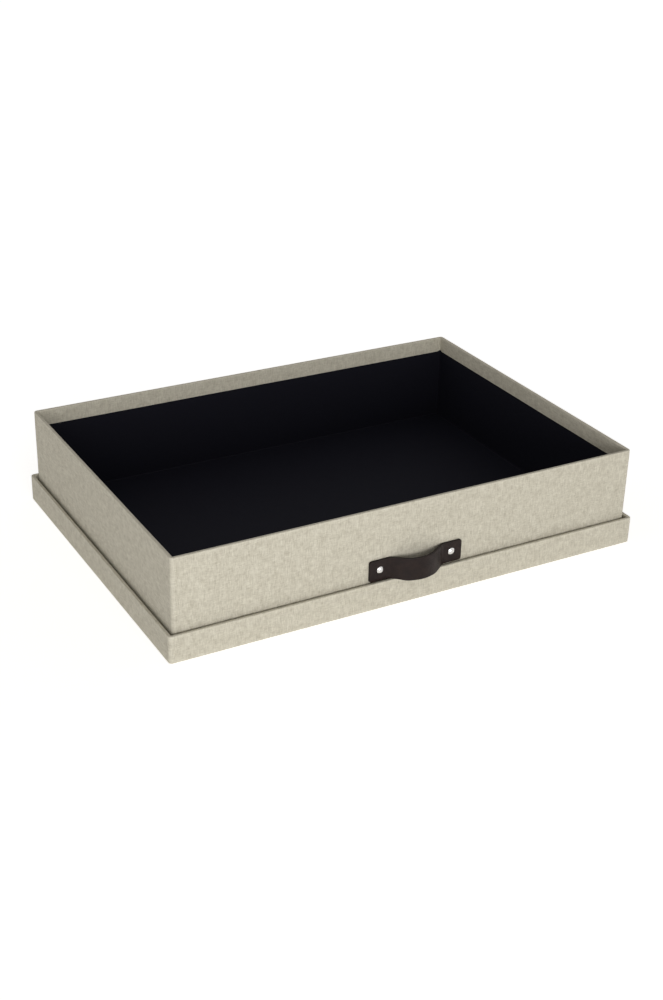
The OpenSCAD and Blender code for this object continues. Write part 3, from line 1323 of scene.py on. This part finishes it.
        add(layers.corner, 0.0, down)
        add(1.9 * MM, 0.0, down, 0.0, 0.3)
        turn((fold, fold), fold, (270, 180), 6, 0.0)
        add(drop, 2.0 * MM, outwards, 0.2, 0.35)
        add(drop, 3.2 * MM, outwards, 0.5)
        for z in rows(6.0 * MM, height - 6.0 * MM, self.row):
            add(drop, z, outwards, 1.0)
        add(drop, height - 3.0 * MM, outwards, 0.6)
        add(drop, crease, outwards, 0.3, 0.3)
        turn((rim, top - rim), rim, (180, 90), 5, 0.2)
        add(wall / 2, top, up, 0.3, 0.7)
        turn((wall - rim, top - rim), rim, (90, 0), 5, 0.2)
        add(wall, crease, inwards, 0.2, 0.3)
        for share in (0.22, 0.5, 0.78):
            add(wall, (height - 2.0 * MM) * (1 - share) + end * share, inwards, 0.6)
        add(wall, end + 0.5 * MM, inwards, 0.2, 0.2)
        add(wall, end + hair, inwards, 0.0, 0.7)
        add(wall - hair, end, down, 0.0, 0.7)
        add(band, end, down, 0.0, 0.2)
        add(band, height - board, hidden)
        add(board, height - board, hidden)
        taped = station.turning or station.to_corner < self.tape_reach
        back = board - layers.tape if taped else board
        add(back, height - board - 0.01 * MM, hidden)
        add(back, board + 0.01 * MM, hidden)
        add(board, board, hidden)
        add(layers.corner, board, hidden)
        return points

    # The paper

    def _floor_section(self, station: Station) -> list[SectionPoint]:
        """Edge of the floor's paper, the same at every station.

        Args:
            station: where the section stands; not used.

        Returns:
            The section's points, in order.
        """
        layers = self.layers
        corners = (
            (layers.corner, layers.lining_at), (layers.band_at, layers.lining_at),
            (layers.band_at, layers.band_at), (layers.corner, layers.band_at),
        )
        return [SectionPoint(depth, z, 0.0) for depth, z in corners]

    def _wall_section(self, station: Station) -> list[SectionPoint]:
        """Section of the walls' paper, with the cove at its foot, the same at every station.

        Args:
            station: where the section stands; not used.

        Returns:
            The section's points, in order.
        """
        cove, back, face = self.cove, self.layers.lining_at, self.layers.band_at
        foot, top = face + cove, self.height - self.layers.board_at
        points = [SectionPoint(back, face, 0.0), SectionPoint(foot, face, 0.0)]
        for depth, z, out in arc_points((foot, foot), cove, 270, 180, 6)[1:]:
            points.append(SectionPoint(depth, z, z, out, 0.0, 0.1))
        heights = rows(foot + 1.5 * MM, self.height - self.turn_in - 1.0 * MM, self.paper_row)
        last = len(heights) - 1
        for step, z in enumerate(heights):
            uneven = math.sin(math.pi * step / last) ** 0.5 if 0 < step < last else 0.0
            points.append(SectionPoint(face, z, 0.0, (1, 0), uneven))
        return [*points, SectionPoint(face, top, 0.0), SectionPoint(back, top, 0.0)]


# ---- The strap and its rivets ----------------------------------------------------------


def grid_rim(last_row: int, last_column: int) -> list[tuple[int, int]]:
    """The cells round a grid's edge, in order, each as its row and column.

    Args:
        last_row: number of the grid's last row.
        last_column: number of its last column.

    Returns:
        The row and column of each cell.
    """
    return [
        *((j, 0) for j in range(last_row + 1)),
        *((last_row, i) for i in range(1, last_column + 1)),
        *((j, last_column) for j in range(last_row - 1, -1, -1)),
        *((0, i) for i in range(last_column - 1, 0, -1)),
    ]


@dataclass
class Bow:
    """Mid line of the strap, seen from above: a crown, two ramps, two feet and two flats."""

    length: float
    thickness: float
    rise: float = 11.5 * MM
    width: float = 55 * MM
    foot: float = 9 * MM
    fullness: float = 1.45

    def __post_init__(self) -> None:
        """Works out the arcs."""
        half = self.width / 2
        self.flank = self.fullness * math.atan(self.rise / half)
        sine, cosine = math.sin(self.flank), math.cos(self.flank)
        self.crown = (half * sine - self.rise * cosine) / (1 - cosine) - self.foot
        self.crown_arc, self.foot_arc = self.crown * self.flank, self.foot * self.flank
        self.ramp = (self._on_foot(self.flank) - self._on_crown(self.flank)).length
        self.reach = self.crown_arc + self.ramp + self.foot_arc + self.length / 2 - half

    def _on_crown(self, angle: float) -> Vector:
        """Place on the crown, so far round from its middle."""
        centre = self.thickness / 2 + self.rise - self.crown
        return Vector((self.crown * math.sin(angle), centre + self.crown * math.cos(angle)))

    def _on_foot(self, angle: float) -> Vector:
        """Place on the arc that leads into the flat end, so far round before it."""
        out = self.thickness / 2 + self.foot * (1 - math.cos(angle))
        return Vector((self.width / 2 - self.foot * math.sin(angle), out))

    def at(self, run: float) -> tuple[Vector, Vector]:
        """A point of the mid line.

        Args:
            run: distance along it from its middle.

        Returns:
            The place, as x and the distance from the wall, and the direction out of its face.
        """
        sign, run = math.copysign(1.0, run), abs(run)
        past_crown = run - self.crown_arc
        past_ramp = past_crown - self.ramp
        if past_crown <= 0:
            angle = run / self.crown
            spot = self._on_crown(angle)
        elif past_ramp <= 0:
            angle = self.flank
            ends = self._on_crown(angle), self._on_foot(angle)
            spot = ends[0].lerp(ends[1], past_crown / self.ramp)
        elif past_ramp <= self.foot_arc:
            angle = self.flank - past_ramp / self.foot
            spot = self._on_foot(angle)
        else:
            angle = 0.0
            spot = Vector((self.width / 2 + past_ramp - self.foot_arc, self.thickness / 2))
        return Vector((sign * spot.x, spot.y)), Vector((sign * math.sin(angle), math.cos(angle)))


@dataclass
class Rivet:
    """A domed head on a shank through the strap and the wall, and the cap on its inner end."""

    side: str
    face: float
    height: float
    head: float = 6.4 * MM
    brim: float = 0.32 * MM
    shank: float = 3 * MM
    sunk: float = 0.2 * MM
    dome_steps: int = 12
    turned_steps: int = 48

    def __post_init__(self) -> None:
        """Reads the rivet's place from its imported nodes."""
        self.node, self.back_node = f"{self.side}_rivet", f"{self.side}_rivet_back"
        low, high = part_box(self.node)
        self.x = (low.x + high.x) / 2

    def turned(self, profile: Sequence[Pair]) -> MeshDraft:
        """Turns a profile round the rivet's axis.

        Args:
            profile: radius and distance out of the strap's face, from the inner end outwards.

        Returns:
            The closed mesh.
        """
        draft = MeshDraft()
        steps = self.turned_steps
        angles = [2 * math.pi * step / steps for step in range(steps)]
        rings = [[
            draft.point((
                self.x + radius * math.cos(angle), self.face - out,
                self.height + radius * math.sin(angle),
            ))
            for angle in angles
        ] for radius, out in profile]
        for low, high in zip(rings, rings[1:]):
            for i in range(steps):
                n = (i + 1) % steps
                draft.face([low[i], low[n], high[n], high[i]], [(0.0, 0.0)] * 4)
        return draft

    def punch_profile(self, out: float = 4 * MM) -> list[Pair]:
        """The plain rod that cuts the shank's hole."""
        return [(0.0, -out), (self.shank / 2, -out), (self.shank / 2, out), (0.0, out)]

    def head_profile(self) -> list[Pair]:
        """Shank, brim and dome, pressed a little into the leather.

        Returns:
            Radius and distance out of the strap's face of each point.
        """
        low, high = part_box(self.node)
        end, top = self.face - high.y, self.face - low.y
        shank, brim, edge, sunk = self.shank / 2, self.head / 2, self.brim, -self.sunk
        profile = [
            (0.0, end), (shank - 0.15 * MM, end), (shank, end + 0.15 * MM), (shank, sunk),
            (brim - 0.12 * MM, sunk), (brim, sunk + 0.12 * MM), (brim, edge - 0.1 * MM),
            (brim - 0.04 * MM, edge - 0.02 * MM), (brim - 0.16 * MM, edge + 0.05 * MM),
        ]
        start, rise = brim - 0.2 * MM, top - edge - 0.06 * MM
        radius = (start ** 2 + rise ** 2) / (2 * rise)
        for step in range(1, self.dome_steps + 1):
            angle = math.asin(start / radius) * (1 - step / self.dome_steps)
            profile.append((radius * math.sin(angle), top - radius + radius * math.cos(angle)))
        return profile

    def cap_profile(self) -> list[Pair]:
        """Flange with a soft edge and a shallow dimple.

        Returns:
            Radius and distance out of the strap's face of each point.
        """
        low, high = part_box(self.back_node)
        back, front, radius = self.face - high.y, self.face - low.y, (high.x - low.x) / 2
        return [
            (0.0, back + 0.3 * MM), (0.9 * MM, back + 0.26 * MM), (1.35 * MM, back + 0.08 * MM),
            (1.7 * MM, back), (radius - 1.0 * MM, back), (radius - 0.55 * MM, back + 0.12 * MM),
            (radius - 0.12 * MM, back + 0.5 * MM), (radius, back + 0.72 * MM),
            (radius, front - 0.1 * MM), (radius - 0.1 * MM, front), (self.shank / 2, front),
            (self.shank / 2, back + 0.5 * MM), (0.0, back + 0.5 * MM),
        ]


@dataclass
class LeatherPull:
    """The bowed strap on the tray's front with its two rivets, hung a little askew by hand."""

    thickness: float = 2.1 * MM
    end_round: float = 2.5 * MM
    edge_round: float = 0.45 * MM
    dent: float = 0.28 * MM
    trim: float = 0.8 * MM
    sag: float = 1.1 * MM
    lean: float = 0.05
    flare: float = 1.5 * MM
    sag_range: Pair = (5.5 * MM, 10.5 * MM)
    dent_range: Pair = (-0.6 * MM, 2.6 * MM)
    worn_range: Pair = (0.1 * MM, 0.9 * MM)
    face_waver: Pair = (0.05 * MM, 9 * MM)
    askew: Pair = (-0.5 * MM, 0.008)
    step: float = 0.9 * MM
    end_steps: Sequence[float] = (0.0, 0.12, 0.28, 0.5, 0.8, 1.2, 1.7, 2.5)
    shares: Sequence[float] = (
        0.0, 0.15, 0.32, 0.48, 0.62, 0.74, 0.83, 0.9, 0.945, 0.97, 0.986, 1.0,
    )
    leather: LeatherFinish = field(default_factory=LeatherFinish)
    nickel: NickelFinish = field(default_factory=NickelFinish)

    def __post_init__(self) -> None:
        """Reads the strap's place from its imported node."""
        low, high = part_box("leather_strap")
        self.width = high.z - low.z - self.trim
        self.middle, self.wall_front = low.z + self.width / 2, high.y
        self.bow = Bow(high.x - low.x, self.thickness)
        face, rivet_height = self.wall_front - self.thickness, (low.z + high.z) / 2
        self.rivets = [Rivet(side, face, rivet_height) for side in ("left", "right")]

    def build(self) -> None:
        """Makes the strap, the rivets and their backs."""
        strap = self._strap().build("strap_leather", sharp=60)
        self._punch(strap)
        self._place(strap, self.leather, "leather_strap")
        for rivet in self.rivets:
            for name, profile, node in (
                ("nickel", rivet.head_profile(), rivet.node),
                ("cap", rivet.cap_profile(), rivet.back_node),
            ):
                piece = rivet.turned(profile).build(f"{rivet.node}_{name}", sharp=50)
                self._place(piece, self.nickel, node)

    def _place(self, piece: bpy.types.Object, finish: Finish, node: str) -> None:
        """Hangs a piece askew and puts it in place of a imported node.

        Args:
            piece: the piece.
            finish: its material.
            node: the node that it stands for.
        """
        along, turn = self.askew
        middle = Vector((0.0, 0.0, self.middle))
        piece.data.transform(
            Matrix.Translation(middle + Vector((along, 0.0, 0.0)))
            @ Matrix.Rotation(-turn, 4, "Y") @ Matrix.Translation(-middle)
        )
        stand_in(piece, finish, Body.TRAY, node)

    def _spread(self) -> list[float]:
        """Places along the strap, closer together at its ends.

        Returns:
            Distances from its middle, rising.
        """
        ends = sorted(self.bow.reach - e * MM for e in self.end_steps)
        count = round(ends[0] / self.step)
        half = [ends[0] * i / count for i in range(count)] + ends
        return [-v for v in reversed(half) if v > 0] + half

    def _strap(self) -> MeshDraft:
        """Leather with rounded edges, bent along the bow and pressed in at the rivets.

        Returns:
            The strap's mesh, closed and not yet punched.
        """
        draft = MeshDraft()
        runs = self._spread()
        shares = [-s for s in reversed(self.shares[1:])] + list(self.shares)
        halves = [self._half_width(run) for run in runs]
        grids = []
        for side in (1, -1):
            grids.append([
                [draft.point(*self._skin(run, half * s, half, side)) for s in shares]
                for run, half in zip(runs, halves)
            ])
        for grid in grids:
            for j in range(len(runs) - 1):
                for i in range(len(shares) - 1):
                    spots = [(j, i), (j, i + 1), (j + 1, i + 1), (j + 1, i)]
                    sheet = [(runs[a], halves[a] * shares[b]) for a, b in spots]
                    draft.face([grid[a][b] for a, b in spots], sheet)
        front, back = grids
        near, far = self.width / 2, self.width / 2 + self.thickness
        rim = grid_rim(len(runs) - 1, len(shares) - 1)
        for (j, i), (k, n) in zip(rim, rim[1:] + rim[:1]):
            sheet = [(runs[j], near), (runs[k], near), (runs[k], far), (runs[j], far)]
            draft.face([front[j][i], front[k][n], back[k][n], back[j][i]], sheet)
        return draft

    def _half_width(self, run: float) -> float:
        """Half the strap's width, narrower in its rounded ends.

        Args:
            run: distance along the strap from its middle.

        Returns:
            The half width there.
        """
        past = abs(run) - (self.bow.reach - self.end_round)
        if past <= 0:
            return self.width / 2
        left = math.sqrt(max(0.0, self.end_round ** 2 - past ** 2))
        return self.width / 2 - self.end_round + left

    def _fall(self, run: float, up: float, to_edge: float, side: int) -> float:
        """How far the leather's face lies below a flat strap's.

        Args:
            run: distance along the strap from its middle.
            up: height above the strap's middle line.
            to_edge: distance to the nearest edge.
            side: 1 on the face, -1 on the back.

        Returns:
            The depth of the rounded edge, of the dents round the rivets and of the waves.
        """
        fall = 0.0
        if to_edge < self.edge_round:
            lack = self.edge_round - to_edge
            fall = self.edge_round - math.sqrt(max(0.0, self.edge_round ** 2 - lack ** 2))
        if side < 0:
            return fall
        spot, _ = self.bow.at(run)
        for rivet in self.rivets:
            away = math.hypot(spot.x - rivet.x, self.middle + up - rivet.height)
            fall += self.dent * (1 - smooth(away - rivet.head / 2, *self.dent_range))
        amount, pitch = self.face_waver
        return fall + amount * waver((run, up, 0.0), pitch, 31.0)

    def _skin(self, run: float, up: float, half: float, side: int) -> tuple[Vector, float]:
        """A point on the strap's face or back.

        Args:
            run: distance along the strap from its middle.
            up: height above the strap's middle line.
            half: half the strap's width here.
            side: 1 on the face, -1 on the back.

        Returns:
            The place and the wear there.
        """
        to_edge = min(half - abs(up), self.bow.reach - abs(run))
        spot, out = self.bow.at(run)
        flat = spot + out * side * (self.thickness / 2 - self._fall(run, up, to_edge, side))
        down = -2 * up / self.width
        rise = (spot.y - self.thickness / 2) / self.bow.rise
        flat.x += math.copysign(self.flare, run) * 4 * rise * (1 - rise) * (1 + 0.5 * down)
        flat.y += self.bow.rise * rise * self.lean * down
        sag = self.sag * (0.7 + 0.3 * down) * smooth(spot.y, *self.sag_range)
        place = Vector((flat.x, self.wall_front - flat.y, self.middle + up - sag))
        return place, 1 - smooth(to_edge, *self.worn_range)

    def _punch(self, strap: bpy.types.Object) -> None:
        """Cuts the holes for the rivets' shanks.

        Args:
            strap: the strap's piece.
        """
        for rivet in self.rivets:
            punch = rivet.turned(rivet.punch_profile()).build("punch")
            cut = strap.modifiers.new("hole", "BOOLEAN")
            cut.operation, cut.solver, cut.object = "DIFFERENCE", "EXACT", punch
            shown = strap.evaluated_get(bpy.context.evaluated_depsgraph_get())
            shaped = bpy.data.meshes.new_from_object(shown)
            strap.modifiers.clear()
            strap.data = shaped
            bpy.data.objects.remove(punch)
        strap.data.name = strap.name


# ---- Studio ----------------------------------------------------------------------------


@dataclass(frozen=True)
class Lamp:
    """A soft area lamp."""

    name: str
    place: Triple
    aim: Triple
    size: Pair
    power: float

    def build(self) -> None:
        """Adds the lamp to the scene."""
        data = bpy.data.lights.new(self.name, "AREA")
        data.shape = "RECTANGLE"
        data.size, data.size_y = self.size
        data.energy = self.power
        lamp = add_object(self.name, data)
        lamp.visible_camera = False
        lamp.location = self.place
        toward = Vector(self.aim) - Vector(self.place)
        lamp.rotation_mode = "QUATERNION"
        lamp.rotation_quaternion = toward.to_track_quat("-Z", "Y")


@dataclass
class Studio:
    """White floor, pale surroundings, one soft lamp and the camera.

    The floor bounces a fixed glow on the box. What the background's rays see of it glows
    more the farther it is from the lamp, within glow_reach, so it comes out evenly white.
    """

    eye: Triple = (-0.60851, -1.08364, 0.64943)
    sight: Triple = (0.44008624, 0.7760291, -0.45177752)
    roll: float = 1.443
    lens: float = 55.852
    sensor: float = 36.0
    floor_size: float = 12.0
    floor_drop: float = 0.1 * MM
    floor_colour: Colour = (0.93, 0.93, 0.93)
    floor_bounce: float = 0.31
    glow: Pair = (0.495, 0.69)
    glow_reach: Pair = (1.06, 2.03)
    horizon: Colour = (0.66, 0.637, 0.604)
    zenith: Colour = (0.23, 0.225, 0.22)
    white: Colour = (1.0, 1.0, 1.0)
    key: Lamp = Lamp("key_lamp", (-0.42, -1.58, 0.36), (0.0, 0.0, 0.05), (0.95, 0.45), 11.3)

    def build(self) -> None:
        """Makes the floor, the world and the lamp."""
        self._floor()
        self._world()
        self.key.build()
        bpy.context.scene.view_settings.view_transform = "Standard"
        log.info("studio: floor, surroundings and %s", self.key.name)

    def camera(self) -> None:
        """Makes the camera at the photograph's angle."""
        data = bpy.data.cameras.new("camera")
        data.sensor_fit = "VERTICAL"
        data.sensor_height = self.sensor
        data.lens = self.lens
        eye = add_object("camera", data)
        look = Vector(self.sight).to_track_quat("-Z", "Y").to_matrix().to_4x4()
        spin = Matrix.Rotation(math.radians(self.roll), 4, "Z")
        eye.matrix_world = Matrix.Translation(self.eye) @ look @ spin
        bpy.context.scene.camera = eye
        log.info("camera: %.1f mm lens", self.lens)

    def _background_rays(self, graph: Graph) -> Socket:
        """1 for rays that see the background: from the camera, mirrored or through glass.

        Args:
            graph: the graph that asks.

        Returns:
            The value, 0 or 1.
        """
        path = graph.node("LightPath").outputs
        seen = graph.math("MAXIMUM", path["Is Camera Ray"], path["Is Glossy Ray"])
        return graph.math("MAXIMUM", seen, path["Is Transmission Ray"])

    def _floor(self) -> None:
        """A pale floor, clear from below, so that the underside can be seen."""
        half, z = self.floor_size / 2, -self.floor_drop
        mesh = bpy.data.meshes.new("floor")
        corners = [(-half, -half, z), (half, -half, z), (half, half, z), (-half, half, z)]
        mesh.from_pydata(corners, [], [(0, 1, 2, 3)])
        add_object("floor", mesh)
        made = bpy.data.materials.new("pale floor")
        graph = Graph.cleared(made)
        geometry = graph.node("NewGeometry").outputs
        away = graph.node(
            "VectorMath", {0: geometry["Position"], 1: self.key.place}, operation="DISTANCE",
        ).outputs["Value"]
        seen = graph.span(away, *self.glow_reach, *self.glow)
        strength = graph.span(self._background_rays(graph), 0.0, 1.0, self.floor_bounce, seen)
        matt = graph.node("BsdfDiffuse", {"Color": self.floor_colour})
        glow = graph.node("Emission", {"Strength": strength})
        pale = graph.node("AddShader", {0: matt.outputs[0], 1: glow.outputs[0]})
        clear = graph.node("BsdfTransparent")
        both = {0: geometry["Backfacing"], 1: pale.outputs[0], 2: clear.outputs[0]}
        shown = graph.node("MixShader", both)
        graph.node("OutputMaterial", {"Surface": shown.outputs[0]})
        mesh.materials.append(made)

    def _world(self) -> None:
        """Soft surroundings, white where the background's rays see them."""
        world = bpy.data.worlds.new("white surroundings")
        graph = Graph.cleared(world)
        height = graph.parts(graph.node("TexCoord").outputs["Generated"])[2]
        sky = graph.mix(graph.span(height, 0.0, 1.0), self.horizon, self.zenith)
        seen = graph.mix(self._background_rays(graph), sky, self.white)
        light = graph.node("Background", {"Color": seen, "Strength": 1.0})
        graph.node("OutputWorld", {"Surface": light.outputs[0]})
        bpy.context.scene.world = world


# ---- The box ---------------------------------------------------------------------------


@dataclass
class DocumentBox:
    """The whole object: the upturned lid, the tray in it and the pull on the tray."""

    lid: ClothTray
    tray: ClothTray
    pull: LeatherPull

    @classmethod
    def from_frame(cls) -> "DocumentBox":
        """Sets the sub-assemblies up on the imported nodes.

        Returns:
            The box, not yet built.
        """
        lid = ClothTray(Body.LID, bottom="panel", sides="rim", turn_in=13 * MM, seed=3.0)
        tray = ClothTray(Body.TRAY, bottom="floor", sides="wall", turn_in=14.5 * MM, seed=8.0)
        return cls(lid, tray, LeatherPull())

    def build(self) -> None:
        """Builds every sub-assembly in order."""
        for part in (self.lid, self.tray, self.pull):
            part.build()


def write_sizes() -> None:
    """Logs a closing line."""
    log.info("sizes written")


def main() -> None:
    """Makes the camera, the studio and the box."""
    logging.basicConfig(level=logging.INFO, format="%(message)s")
    studio = Studio()
    studio.camera()
    studio.build()
    DocumentBox.from_frame().build()
    write_sizes()


if __name__ == "__main__":
    main()
